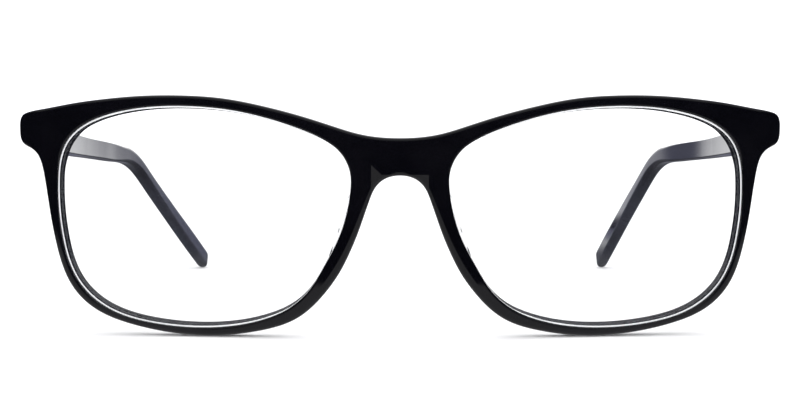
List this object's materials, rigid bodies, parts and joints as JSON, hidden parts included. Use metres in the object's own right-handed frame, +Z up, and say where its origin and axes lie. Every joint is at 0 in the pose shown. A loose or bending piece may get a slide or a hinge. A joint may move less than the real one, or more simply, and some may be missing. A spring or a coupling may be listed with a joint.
{
  "type": "eyeglasses frame",
  "caption": "Full-rim acetate eyeglasses frame with clear demo lenses, clear nose pads and slim folding temples with bent-down tips.",
  "frame": {"origin": "on the table, under the middle of the footprint of the open frame", "axes": "+X towards the wearer's left, +Y from the front to the temple tips, +Z up"},
  "size_m": [0.1408, 0.1446, 0.0442],
  "materials": {
    "black_acetate": "polished black acetate",
    "demo_lens": "clear demo lens",
    "clear_acetate": "clear polished acetate",
    "hinge_metal": "satin nickel silver",
    "screw_metal": "bright steel",
    "core_wire_metal": "drawn nickel silver wire"
  },
  "bodies": {
    "front": {"front_frame": "black_acetate", "lens_right": "demo_lens", "lens_left": "demo_lens", "nose_pad_right": "clear_acetate", "nose_pad_left": "clear_acetate", "front_hinge_right": "hinge_metal", "front_hinge_left": "hinge_metal", "hinge_screw_right": "screw_metal", "hinge_screw_left": "screw_metal"},
    "temple_right_arm": {"temple_right": "black_acetate", "temple_hinge_right": "hinge_metal", "core_wire_right": "core_wire_metal"},
    "temple_left_arm": {"temple_left": "black_acetate", "temple_hinge_left": "hinge_metal", "core_wire_left": "core_wire_metal"}
  },
  "joints": [
    {"name": "temple_right_fold", "type": "hinge", "parent": "front", "child": "temple_right_arm", "pos_m": [-0.0633, -0.05928, 0.0373], "axis": [0, 0, -1], "range_deg": [0, 86]},
    {"name": "temple_left_fold", "type": "hinge", "parent": "front", "child": "temple_left_arm", "pos_m": [0.0633, -0.05928, 0.0373], "axis": [0, 0, 1], "range_deg": [0, 76]}
  ]
}
